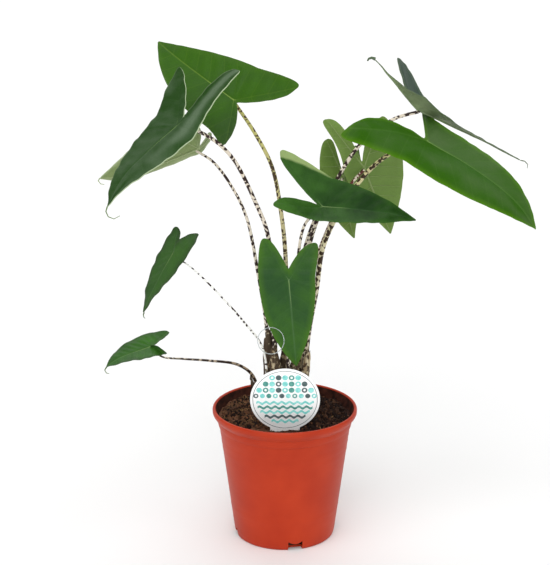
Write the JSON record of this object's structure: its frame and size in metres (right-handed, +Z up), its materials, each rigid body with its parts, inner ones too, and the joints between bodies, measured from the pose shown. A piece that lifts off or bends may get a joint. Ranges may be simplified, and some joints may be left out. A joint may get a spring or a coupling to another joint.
{
  "type": "potted aroid house plant",
  "caption": "Zebra-stalked aroid house plant with arrow-shaped leaves on long arching stalks, in a tapered nursery pot with a round plant label.",
  "frame": {"origin": "middle of the flat underside of the pot, on the surface the pot stands on", "axes": "+Z up along the pot's axis; -Y is the front, where the label stands; +X to the right seen from the front"},
  "size_m": [0.4841, 0.233, 0.5707],
  "materials": {
    "pot_plastic": "terracotta-coloured injection-moulded plastic, satin",
    "label_card": "white plastic sheet with a satin print",
    "clear_plastic": "pale translucent plastic wire",
    "compost": "dark peat compost with bark and fibres",
    "leaf_blade": "glossy waxy leaf, paler and more matt underneath",
    "leaf_stalk": "smooth leaf stalk, cream with dark zebra bands"
  },
  "bodies": {
    "root": {"pot": "pot_plastic", "label": "label_card", "ring": "clear_plastic", "soil": "compost", "blade_back_left": "leaf_blade", "petiole_back_left": "leaf_stalk", "blade_upper_left": "leaf_blade", "petiole_upper_left": "leaf_stalk", "blade_hidden_left": "leaf_blade", "petiole_hidden_left": "leaf_stalk", "blade_small_left": "leaf_blade", "petiole_small_left": "leaf_stalk", "blade_low_left": "leaf_blade", "petiole_low_left": "leaf_stalk", "blade_front": "leaf_blade", "petiole_front": "leaf_stalk", "blade_middle": "leaf_blade", "petiole_middle": "leaf_stalk", "blade_right": "leaf_blade", "petiole_right": "leaf_stalk", "blade_upper_right": "leaf_blade", "petiole_upper_right": "leaf_stalk", "blade_back_right": "leaf_blade", "petiole_back_right": "leaf_stalk", "blade_back_middle": "leaf_blade", "petiole_back_middle": "leaf_stalk"}
  },
  "joints": []
}
